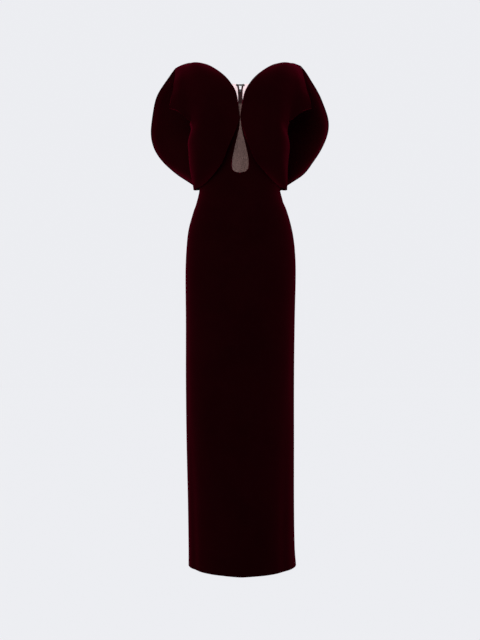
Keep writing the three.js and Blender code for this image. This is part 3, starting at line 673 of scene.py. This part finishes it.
def back_petal(hand):
    """A back petal on the wearer's right."""
    names = ("rim", "turn", "blade", "spine", "middle")
    lines = [trimmed(BACK_PETAL[name], BACK_PETAL["trim"], hand) for name in names]

    def tack(point):
        return plain_body(point[0], point[2], 1, TACK_OFF)[0]

    tacked = slice(TACKED_ROWS.first, TACKED_ROWS.last + 1)
    lines[-1][tacked] = [tack(point) for point in lines[-1][tacked]]
    for line in lines:
        line[0] = tack(line[0])
        end_on_ridge(line, 1)
    rows = spread(0, len(lines[0]) - 1, PETAL_ROWS)
    columns = spread(0, len(lines) - 1, PETAL_COLUMNS)
    by_row = [natural_spline(line, rows) for line in lines]
    for k in np.flatnonzero((rows >= TACKED_ROWS.first) & (rows <= TACKED_ROWS.last)):
        by_row[-1][k] = tack(by_row[-1][k])
    points = np.swapaxes(natural_spline(np.stack(by_row), columns), 0, 1)
    return [square_end(waved(with_normals(points), BACK_WAVES))]


# The petals' soft waves: how deep they are, and the share, direction, wavelength in millimetres and phase of
# each.
FRONT_WAVES = Sizes(depth=1, each=((0.6, (0.5, 0.2, 0.84), 118, 0.6), (0.4, (0.9, 0.1, -0.42), 74, 2.1)))
BACK_WAVES = Sizes(depth=1.3, each=((0.6, (0.35, 0.3, 0.89), 131, 2.4), (0.4, (0.8, -0.5, 0.33), 83, 0.9)))
WAVE_FADE = 0.8  # the lower, the closer to the edges the waves reach


def waved(grid, waves):
    """A grid with soft uneven waves along its normals, which fade to nothing at its edges."""
    points, normals = grid
    rows, columns = (np.sin(np.pi * np.linspace(0, 1, count)) ** WAVE_FADE for count in points.shape[:2])
    lift = sum(
        share * np.sin(points @ np.array(direction) * 2 * pi / length + phase)
        for share, direction, length, phase in waves.each
    )
    return points + normals * (waves.depth * lift * rows[:, None] * columns)[..., None], normals


# ---- small hard pieces


def circle(count):
    return np.linspace(0, 2 * pi, count, endpoint=False)


class Soup:
    """Points in millimetres and faces of one piece that is made of several closed forms."""

    def __init__(self):
        self.points, self.faces = [], []

    def add(self, points, faces):
        start = len(self.points)
        self.points.extend(np.asarray(points, float))
        self.faces.extend([[start + i for i in face] for face in faces])

    def tube(self, path, radius, sides=8, closed=False):
        """A round wire of that radius along points."""
        path = np.asarray(path, float)
        count = len(path)
        if closed:
            along = np.roll(path, -1, 0) - np.roll(path, 1, 0)
        else:
            along = np.gradient(path, axis=0)
        along = unit(along)
        side = unit(np.cross(along[0], (0.31, 0.83, 0.46)))
        points = []
        for k in range(count):
            side = unit(side - along[k] * (side @ along[k]))
            up = np.cross(along[k], side)
            for angle in circle(sides):
                points.append(path[k] + radius * (side * math.cos(angle) + up * math.sin(angle)))
        faces = []
        for k in range(count if closed else count - 1):
            a, b = k * sides, (k + 1) % count * sides
            faces += [[a + i, a + (i + 1) % sides, b + (i + 1) % sides, b + i] for i in range(sides)]
        if not closed:
            faces += [list(range(sides))[::-1], [(count - 1) * sides + i for i in range(sides)]]
        self.add(points, faces)

    def plate(self, outline, low, high, hole=None, bevel=0.25):
        """A plate with rounded edges: outline is [x, z] points, low and high its faces' places along y, and
        hole the [x, z] points of a hole, as many as the outline has."""
        loops = []
        for loop, way in ((outline, 1), (hole, -1)):
            if loop is None:
                continue
            loop = np.asarray(loop, float)
            out = np.roll(loop, -1, 0) - np.roll(loop, 1, 0)
            out = unit(np.stack([out[:, 1], -out[:, 0]], -1)) * way
            for y, inset in ((low, bevel), (low + bevel, 0), (high - bevel, 0), (high, bevel)):
                flat = loop - out * inset
                loops.append(np.stack([flat[:, 0], np.full(len(loop), y), flat[:, 1]], -1))
        count = len(outline)
        bands = [(0, 1), (1, 2), (2, 3)]
        if hole is not None:
            bands += [(5, 4), (6, 5), (7, 6), (4, 0), (3, 7)]
        next_to = [(i, (i + 1) % count) for i in range(count)]
        faces = [
            [a * count + i, a * count + j, b * count + j, b * count + i] for a, b in bands for i, j in next_to
        ]
        if hole is None:
            faces += [list(range(count))[::-1], [3 * count + i for i in range(count)]]
        self.add(np.concatenate(loops), faces)

    def piece(self, name, place=None, sharp=40):
        points = np.array(self.points) if place is None else place(np.array(self.points))
        return make_mesh(name, points, self.faces, sharp)


def on_back(z):
    """A function that puts points of a frame on the back into place: their x is across, y straight out of the
    cloth and z up along it."""
    at, out = body_point(pi / 2, z), body_normal(pi / 2, z)
    up = np.array([0, -out[2], out[1]])

    def place(points):
        return at + points[:, :1] * LEFTWARDS + points[:, 1:2] * out + points[:, 2:] * up

    return place


def arc(middle, radius, start, end, count):
    angles = np.radians(np.linspace(start, end, count))
    return np.stack([middle[0] + radius * np.cos(angles), middle[1] + radius * np.sin(angles)], -1)


def rounded(low, high, radius, count=6):
    """The outline of a rectangle with round corners, counter-clockwise."""
    (x0, z0), (x1, z1) = low, high
    corners = (
        (x1 - radius, z1 - radius, 0),
        (x0 + radius, z1 - radius, 90),
        (x0 + radius, z0 + radius, 180),
        (x1 - radius, z0 + radius, 270),
    )
    return np.concatenate([arc((x, z), radius, start, start + 90, count) for x, z, start in corners])


# The coil's bars lie at_share of reach from the zip's middle, and run half_share of it to either side.
TOOTH = Sizes(
    pitch=1.3, wire=0.42, reach=1.45, at_share=0.4, half_share=0.55, deep=0.28,
    slant=0.7, cord=0.42, cord_at=0.9,
)


def zip_teeth():
    """The two rows of nylon coil, as short bars that meet in the middle, and their cords."""
    soup = Soup()
    depth = -(VELVET / 2 + TAPE_GAP + ZIP.chain_thick / 2)
    loop = circle(10)
    out = depth + TOOTH.deep * np.sin(loop)
    slant = TOOTH.wire * TOOTH.slant * np.sin(loop)
    heights = np.arange(ZIP.foot + TOOTH.pitch, CHAIN_TOP - TOOTH.pitch, TOOTH.pitch)
    for k, height in enumerate(heights):
        hand = 1 if k % 2 else -1
        across = hand * TOOTH.reach * (TOOTH.at_share + TOOTH.half_share * np.cos(loop))
        bar = on_back(height)(np.stack([across, out, slant], -1))
        soup.tube(bar, TOOTH.wire, sides=5, closed=True)
    z = np.linspace(ZIP.foot, CHAIN_TOP, 60)
    for hand in (-1, 1):
        cord, _ = plain_body(hand * TOOTH.cord_at, z, 1, depth)
        soup.tube(cord, TOOTH.cord, sides=6)
    return soup.piece("zip_teeth")


BED = Sizes(past_tape=0.6, off_tape=0.02, thick=0.1)


def zip_bed():
    """A thin strip on the tapes' outer faces that closes the gap between them."""
    z = np.linspace(ZIP.foot, CHAIN_TOP, 120)[:, None]
    across = np.linspace(-1, 1, 5)[None, :] * (ZIP.tape_from + BED.past_tape)
    off = -(VELVET / 2 + TAPE_GAP - BED.off_tape)
    return shell("zip_bed", [plain_body(across, z, 1)], off, off + BED.thick)


# The slider's two plates, by the radii of their wide shoulders and narrower heel, how far in the heel's
# corners are, and how thick they are. The lug stands straight for a little and is sunk in the outer one.
PLATE = Sizes(shoulder=1.1, heel=0.7, heel_in=1.5, inner=0.9, outer=0.8)
LUG = Sizes(straight=1, sunk=0.4)


def zip_slider():
    inner = -(VELVET / 2 + TAPE_GAP + TAPE + SEAM)
    half, tall, thick = SLIDER.half, SLIDER.tall, SLIDER.thick
    shoulder, heel, heel_in = PLATE.shoulder, PLATE.heel, PLATE.heel_in
    soup = Soup()
    plate = np.concatenate([
        arc((half - shoulder, tall - shoulder), shoulder, 0, 90, 6),
        arc((-half + shoulder, tall - shoulder), shoulder, 90, 180, 6),
        arc((-half + heel_in, -tall + heel), heel, 180, 270, 6),
        arc((half - heel_in, -tall + heel), heel, 270, 360, 6),
    ])
    soup.plate(plate, inner - thick, inner - thick + PLATE.inner, bevel=0.3)
    soup.plate(plate, inner - PLATE.outer, inner)
    post = rounded((-0.9, 1 - tall), (0.9, tall - 0.6), 0.6)
    soup.plate(post, inner - thick + 0.6, inner - 0.5, bevel=0.1)
    # The lug, in its own plane: y out of the cloth and z up, turned to stand across.
    neck, lug, axis = SLIDER.neck, SLIDER.lug, SLIDER.axis
    near, root = axis - LUG.straight, inner - LUG.sunk
    outline = np.concatenate([
        arc((axis, 0), lug, -90, 90, 13),
        np.stack([np.linspace(near, root, 6), np.full(6, lug)], -1)[:5],
        np.stack([np.linspace(root, near, 7), np.full(7, -lug)], -1)[:6],
    ])
    hole = arc((axis, 0), SLIDER.pin + SEAM, -90, 270, len(outline) + 1)[:-1]
    stand = Soup()
    stand.plate(outline, -neck / 2, neck / 2, hole=hole, bevel=0.22)
    turned = np.array(stand.points)[:, [1, 0, 2]]
    soup.add(turned, [face[::-1] for face in stand.faces])
    return soup.piece("zip_slider_shaped", on_back(ZIP.slider), sharp=30)


# The tab's corners and hole, how deep its cheeks run into it and how far its pin shows past them.
TAB = Sizes(corner=0.4, hole_share=0.2, cheek_foot=0.8, pin_past=0.15)


def zip_pull():
    cheek, wide, long, thick = PULL.cheek, PULL.wide, PULL.long, PULL.thick
    reach, corner = SLIDER.neck / 2 + SEAM, TAB.corner
    axis, below = SLIDER.axis, -(SLIDER.lug + SEAM)
    top, foot = reach + cheek, below - long
    back, front = axis - thick / 2, axis + thick / 2
    soup = Soup()
    # The tab's outline goes round its foot and up to the cheeks; the hole near its foot has as many points.
    outline = np.concatenate([
        arc((0, foot + wide / 2), wide / 2, 180, 360, 17),
        arc((top - corner, below - corner), corner, 0, 90, 4),
        arc((-top + corner, below - corner), corner, 90, 180, 3),
    ])
    hole = arc((0, foot + wide / 2), wide * TAB.hole_share, 180, 540, len(outline) + 1)[:-1]
    soup.plate(outline, back, front, hole=hole, bevel=0.3)
    for side in (-1, 1):
        low, high = sorted((side * reach, side * (reach + cheek)))
        arm = rounded((low, below - TAB.cheek_foot), (high, thick / 2), corner, 5)
        soup.plate(arm, back, front)
    pin = np.linspace(-reach - cheek - TAB.pin_past, reach + cheek + TAB.pin_past, 5)
    soup.tube(np.stack([pin, np.full(5, axis), np.zeros(5)], -1), SLIDER.pin, sides=20)
    return soup.piece("zip_pull_shaped", on_back(ZIP.slider), sharp=30)


# The rings lie inset of their radius in from the bar's edges. Stitches stand over the wire and reach inwards.
STITCH = Sizes(
    wire=0.42, ring=1.15, inset=0.75, thread=0.16, each=7, start=0.3, over=0.12,
    inwards=0.62,
)


def sewn_rings(soup, x, depth, tall):
    """A pair of wire rings, one over the other, each sewn down with a fan of thread."""
    ring, edge = STITCH.ring, tall / 2 - STITCH.ring * STITCH.inset
    for z in (-edge, edge):
        turn = circle(18)
        wire = np.stack([x + ring * np.cos(turn), 0 * turn + depth, z + ring * np.sin(turn)], -1)
        soup.tube(wire, STITCH.wire, sides=7, closed=True)
        for angle in circle(STITCH.each) + STITCH.start:
            over = np.linspace(0, pi, 7)
            out = ring * (1 - STITCH.inwards * np.cos(over))
            lift = depth - (STITCH.wire + STITCH.over) * np.sin(over)
            thread = np.stack([x + out * np.cos(angle), lift, z + out * np.sin(angle)], -1)
            soup.tube(thread, STITCH.thread, sides=5)


# The bars' corners and rings, and the hook's wire: where it starts and bends, its half width and its slope.
BAR = Sizes(corner=1.2, ring_in=2.6, ring_past=2)
WIRE = Sizes(start=4, bend=2, half=1, slope=0.1)


def hook_and_eye():
    inner = -(VELVET / 2 + TAPE_GAP + TAPE + 2 * SEAM)
    plate, reach, tongue, thick, tall = HOOK.plate, HOOK.reach, HOOK.tongue, HOOK.thick, HOOK.tall
    low, deep = inner - thick, inner - thick - SEAM - thick / 2
    ring_at, half = plate - BAR.ring_in, WIRE.half
    hook, eye = Soup(), Soup()
    hook.plate(rounded((-plate, -tall / 2), (-tongue, tall / 2), BAR.corner), low, inner, bevel=0.3)
    sewn_rings(hook, -ring_at, low, tall)
    # The hook's wire runs out from one ring, turns at its tip and comes back to the other.
    start, bend = -plate + WIRE.start, -tongue - WIRE.bend
    tip = arc((reach - half, 0), half, -90, 90, 9)
    flat = np.concatenate([[(start, -half), (bend, -half)], tip, [(bend, half), (start, half)]])
    slope = [low, deep + WIRE.slope]
    depth = np.concatenate([slope, np.full(len(tip), deep), slope[::-1]])
    hook.tube(np.stack([flat[:, 0], depth, flat[:, 1]], -1), STITCH.wire)
    eye.plate(rounded((-tongue + SEAM, -tall / 2), (plate, tall / 2), BAR.corner), low, inner, bevel=0.3)
    for x in (ring_at, reach + BAR.ring_past):
        sewn_rings(eye, x, low, tall)
    place = on_back(HOOK.at)
    return hook.piece("hook_wire", place), eye.piece("eye_wire", place)


# ---- materials


class Shader:
    """A short way to write a material's nodes."""

    def __init__(self, name):
        self.material = bpy.data.materials.new(name)
        self.material.use_nodes = True
        self.nodes, self.links = self.material.node_tree.nodes, self.material.node_tree.links
        self.principled = self.nodes["Principled BSDF"]

    def node(self, kind, **values):
        """A node of a kind. Values go to inputs by name, or by number as i0, i1, or else to properties."""
        node = self.nodes.new("ShaderNode" + kind)
        for name, value in values.items():
            if not self.put(node, name, value):
                setattr(node, name, value)
        return node

    def put(self, node, name, value):
        """Links or sets a node's input, and says whether there is one of that name."""
        for number, socket in enumerate(node.inputs):
            if name in (f"i{number}", socket.name.replace(" ", "_").lower()):
                if isinstance(value, bpy.types.NodeSocket):
                    self.links.new(value, socket)
                else:
                    socket.default_value = value
                return True
        return False

    def set(self, **values):
        for name, value in values.items():
            self.put(self.principled, name, value)

    def math(self, operation, a, b=0.0, c=0.0):
        return self.node("Math", operation=operation, i0=a, i1=b, i2=c).outputs[0]

    def objects(self):
        return self.node("TexCoord").outputs["Object"]

    def noise(self, scale, detail=2.0, roughness=0.5, distortion=0.0):
        """Noise in the piece's own space, of that scale to a metre."""
        node = self.node("TexNoise", scale=scale, detail=detail, roughness=roughness, distortion=distortion)
        self.links.new(self.objects(), node.inputs["Vector"])
        return node.outputs["Fac"]

    def ramp(self, fac, *stops):
        """A colour or grey by fac: each stop is a place and a colour or a grey."""
        node = self.node("ValToRGB", fac=fac)
        elements = node.color_ramp.elements
        while len(elements) < len(stops):
            elements.new(0.5)
        for element, (place, value) in zip(elements, stops):
            element.position = place
            element.color = (*value, 1) if isinstance(value, tuple) else (value, value, value, 1)
        return node.outputs["Color"]

    def bump(self, height, distance, strength=1.0, normal=None):
        node = self.node("Bump", height=height, distance=distance, strength=strength)
        if normal is not None:
            self.links.new(normal, node.inputs["Normal"])
        return node.outputs["Normal"]


VELVET_LOOK = {
    "dark": (0.002, 0.00015, 0.00024),
    "light": (0.0028, 0.00021, 0.00034),
    "sheen": (0.045, 0.0005, 0.0045),
}
BACK_PETAL_PAINTED_LIGHT = 2.2  # painted light: the back petals' base colour is brightened this much, since with one colour for all their insides were too dark


def velvet_material(name, lift=1.0):
    """Dense dark wine pile: almost black seen straight on, with a red sheen where it turns away. It lies a
    little differently from place to place. lift multiplies its base colour; above 1 it is painted light."""
    dark, light = (tuple(lift * part for part in VELVET_LOOK[end]) for end in ("dark", "light"))
    m = Shader(name)
    stroked = m.noise(7, detail=3, roughness=0.55, distortion=0.6)
    pressed = m.noise(46, detail=3, roughness=0.6)
    pile = m.noise(1400, detail=1)
    tufts = m.noise(620, roughness=0.7)
    lay = m.math("ADD", m.math("MULTIPLY", stroked, 0.6), m.math("MULTIPLY", pressed, 0.25))
    lay = m.math("ADD", lay, m.math("MULTIPLY", tufts, 0.15))
    m.set(base_color=m.ramp(lay, (0.36, dark), (0.64, light)))
    m.set(roughness=m.ramp(lay, (0.3, 0.92), (0.7, 0.78)))
    m.set(specular_ior_level=0.0, sheen_weight=1.0, sheen_roughness=0.5)
    m.set(sheen_tint=(*VELVET_LOOK["sheen"], 1))
    soft = m.bump(stroked, 0.004, 0.35)
    soft = m.bump(pressed, 0.0009, 0.45, soft)
    soft = m.bump(tufts, 0.0005, 0.3, soft)
    m.set(normal=m.bump(pile, 0.0003, 0.35, soft))
    return m.material


NET_CELL = 0.0009  # metres between the crests of each of the net's three sets of waves


def net_material(name, open_share, dark, pale):
    """Fine six-sided net. open_share is how much of it is holes, from 0 to 1."""
    m = Shader(name)
    cut = m.node("Attribute", attribute_name="cut").outputs["Vector"]
    split = m.node("SeparateXYZ", vector=cut).outputs
    waves = []
    for angle in (0, 60, 120):
        across, along = (2 * pi / NET_CELL * f(math.radians(angle)) for f in (math.cos, math.sin))
        phase = m.math("ADD", m.math("MULTIPLY", split[0], across), m.math("MULTIPLY", split[1], along))
        waves.append(m.math("COSINE", phase))
    cells = m.math("ADD", m.math("ADD", waves[0], waves[1]), waves[2])
    # The three waves together are highest in the middle of each hole.
    edge = np.interp(open_share, (0.05, 0.3, 0.5, 0.7, 0.95), (2.2, 0.7, -0.15, -0.75, -1.35))
    soft = 0.35
    thread = m.node("MapRange", value=cells, i1=edge + soft, i2=edge - soft, i3=0.0, i4=1.0).outputs[0]
    m.set(alpha=thread)
    tone = m.noise(90)
    m.set(base_color=m.ramp(tone, (0.3, dark), (0.7, pale)))
    m.set(roughness=m.ramp(tone, (0.3, 0.62), (0.7, 0.5)))
    m.set(specular_ior_level=0.15)
    m.set(normal=m.bump(thread, 0.0002, 0.4))
    return m.material


TWILL = Sizes(zigzag=0.0013, pitch=0.0007)  # in metres


def tape_material(name, dark, light):
    """Woven zip tape: a fine herringbone in two close tones."""
    m = Shader(name)
    split = m.node("SeparateXYZ", vector=m.objects()).outputs
    zigzag = m.math("PINGPONG", split[0], TWILL.zigzag)
    slant = m.math("MULTIPLY", m.math("ADD", split[2], zigzag), 2 * pi / TWILL.pitch)
    weave = m.math("MULTIPLY_ADD", m.math("SINE", slant), 0.5, 0.5)
    worn = m.noise(300)
    tone = m.math("ADD", m.math("MULTIPLY", weave, 0.6), m.math("MULTIPLY", worn, 0.4))
    m.set(base_color=m.ramp(tone, (0.3, dark), (0.7, light)))
    m.set(roughness=m.ramp(worn, (0.3, 0.85), (0.7, 0.7)))
    m.set(specular_ior_level=0.1)
    m.set(normal=m.bump(weave, 0.0002, 0.5))
    return m.material


def enamel_material():
    """Black enamel on small metal pieces, slightly orange-peeled and dulled by handling."""
    m = Shader("enamel")
    wear = m.noise(500, detail=4, roughness=0.65)
    m.set(base_color=m.ramp(wear, (0.35, (0.003, 0.0022, 0.0026)), (0.75, (0.008, 0.006, 0.007))))
    m.set(roughness=m.ramp(wear, (0.3, 0.28), (0.7, 0.5)))
    m.set(specular_ior_level=0.1, coat_weight=0.06, coat_roughness=0.25)
    m.set(normal=m.bump(wear, 0.0001, 0.3))
    return m.material


PALE = (0.842, 0.85, 0.883)  # the air and the floor


def backdrop_material(name):
    """As bright as the air by its own light, so that no horizon shows."""
    m = Shader(name)
    grain = m.noise(3)
    m.set(base_color=m.ramp(grain, (0.4, (0.003, 0.003, 0.0031)), (0.6, (0.0032, 0.0032, 0.0033))))
    m.set(roughness=1.0, specular_ior_level=0.0, emission_color=(*PALE, 1), emission_strength=1.0)
    return m.material


# ---- the gown

velvet = velvet_material("velvet")
# The back petals get a brightened copy of the velvet: painted light for their insides in the arm hollows.
painted_light_petal_velvet = velvet_material("velvet_back_petals", lift=BACK_PETAL_PAINTED_LIGHT)
# The keyhole net's colours are painted shade: it is drawn about ten times darker than the yoke's net to stand
# in for the shade it lies in between the petals.
net = net_material("net", 0.6, (0.078, 0.044, 0.039), (0.09, 0.052, 0.047))
sheer = net_material("net_sheer", 0.7, (0.8, 0.47, 0.49), (0.86, 0.53, 0.55))
tape = tape_material("zip_tape", (0.014, 0.0035, 0.0045), (0.026, 0.008, 0.009))
coil = tape_material("zip_coil", (0.022, 0.006, 0.0065), (0.034, 0.0115, 0.012))
enamel = enamel_material()


def finish_piece(piece, material, node=None, body="gown"):
    piece.data.materials.append(material)
    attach(piece, body)
    if node:
        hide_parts(node)
    return piece


def cloth_piece(name, node, grids, material, wall, rim=0.5):
    """A sheet of cloth in its solid's place. wall is its two faces' offsets."""
    piece = finish_piece(shell(name, grids, *wall, rim=rim), material, node)


def centred(wall):
    """The offsets of a wall's two faces, half of it to either side of the surface."""
    return (-wall / 2, wall / 2)


def inside(wall, gap):
    """The offsets of the two faces of a wall that lies gap inside the velvet."""
    return (-(VELVET / 2 + gap + wall), -(VELVET / 2 + gap))


def on_its_side(grids, hand):
    """Grids drawn on the wearer's right, or mirrored to the left for hand 1."""
    flip = np.array([-hand, 1, 1])
    return [(points * flip, normals * flip) for points, normals in grids]


cloth_piece(
    "front_velvet", "front_panel", [front_half(-1), front_half(1)], velvet, centred(VELVET),
    rim=0.9,
)

# The net in the keyhole has a doubled hem across its top and its foot and a fine seam up its middle.
NET_HEM = Sizes(foot=12, top=6, short=0.3, inset=0.4, wall=0.4, gap=0.1)
NET_SEAM = Sizes(half=0.5, short=1, wall=0.3, gap=0.6)
net_foot = KEYHOLE.bottom - KEYHOLE.lap
for name, low, high in (
    ("keyhole_net_foot_hem", net_foot, KEYHOLE.bottom + NET_HEM.foot),
    ("keyhole_net_top_hem", NET_TOP - NET_HEM.top, NET_TOP - NET_HEM.short),
):
    wall = inside(NET_HEM.wall, NET_GAP + NET + NET_HEM.gap)
    hem = shell(name, [keyhole_net(low, high, NET_HEM.inset)], *wall)
    finish_piece(hem, net)
z = np.linspace(net_foot, NET_TOP - NET_SEAM.short, 60)[:, None]
across = np.linspace(-1, 1, 3)[None, :] * NET_SEAM.half
wall = inside(NET_SEAM.wall, NET_GAP + NET + NET_SEAM.gap)
finish_piece(shell("keyhole_net_seam", [plain_body(across, z, -1)], *wall), net)
cloth_piece(
    "keyhole_net_fine", "keyhole_net", [keyhole_net(net_foot, NET_TOP)], net, inside(NET, NET_GAP),
)

for side, hand in (("right", -1), ("left", 1)):
    cloth_piece(
        f"back_velvet_{side}", f"back_panel_{side}", [back_half(hand)], velvet, centred(VELVET),
        rim=0.9,
    )
    cloth_piece(
        f"yoke_net_{side}", f"yoke_{side}", [yoke_half(hand)], sheer, centred(NET),
    )
    cloth_piece(
        f"front_petal_velvet_{side}", f"front_petal_{side}", on_its_side(front_petal(hand), hand), velvet,
        centred(PETAL), rim=1,
    )
    cloth_piece(
        f"back_petal_velvet_{side}", f"back_petal_{side}", on_its_side(back_petal(hand), hand), painted_light_petal_velvet,
        centred(PETAL), rim=1,
    )
    strip = shell(f"zip_tape_woven_{side}", [zip_tape(hand)], *inside(TAPE, TAPE_GAP))
    finish_piece(strip, tape, f"zip_tape_{side}")

finish_piece(zip_teeth(), coil, "zip_chain")
finish_piece(zip_bed(), tape)
finish_piece(zip_slider(), enamel, "zip_slider")
finish_piece(zip_pull(), enamel, "zip_pull", body="zip_pull")
for piece, node in zip(hook_and_eye(), ("hook", "eye")):
    finish_piece(piece, enamel, node)

# ---- the scene

CAMERA = Sizes(at=(-0.0009, -2.6, -0.399), view_height=1.92, sensor=36)
FLOOR = Sizes(size=14, below=0.02)


def add_camera():
    camera = add_object("camera", bpy.data.cameras.new("camera"))
    camera.location = CAMERA.at
    camera.rotation_euler = (pi / 2, 0, 0)
    camera.data.sensor_fit = "AUTO"
    camera.data.sensor_width = CAMERA.sensor
    camera.data.lens = CAMERA.sensor * -CAMERA.at[1] / CAMERA.view_height
    scene.camera = camera


def add_light(name, at, aim, across, power):
    """A round soft light that shines from one point at another. across is its width and power its watts."""
    light = add_object(name, bpy.data.lights.new(name, "AREA"))
    light.data.shape = "DISK"
    light.data.size = across
    light.data.energy = power
    light.location = at
    toward = np.subtract(aim, at)
    level = math.hypot(toward[0], toward[1])
    light.rotation_euler = (math.atan2(level, -toward[2]), 0, math.atan2(-toward[0], toward[1]))


def add_floor():
    """A plain pale floor just below the hem, as bright as the air round it."""
    bpy.ops.mesh.primitive_plane_add(size=FLOOR.size, location=(0, 0, cad_box[0][2] - FLOOR.below))
    floor = bpy.context.object
    floor.name = "floor"
    floor.data.materials.append(backdrop_material("floor"))


def add_air():
    world = bpy.data.worlds.new("air")
    world.use_nodes = True
    background = world.node_tree.nodes["Background"]
    background.inputs["Color"].default_value = (*PALE, 1)
    background.inputs["Strength"].default_value = 1
    scene.world = world


add_camera()
add_air()
add_floor()
add_light("key", at=(-0.5, -2.4, 0.45), aim=(0, 0, 0.1), across=1.6, power=100)
add_light("behind", at=(1.2, 2.4, 0.9), aim=(0, 0, 0.1), across=2.0, power=12)
scene.view_settings.view_transform = "Standard"
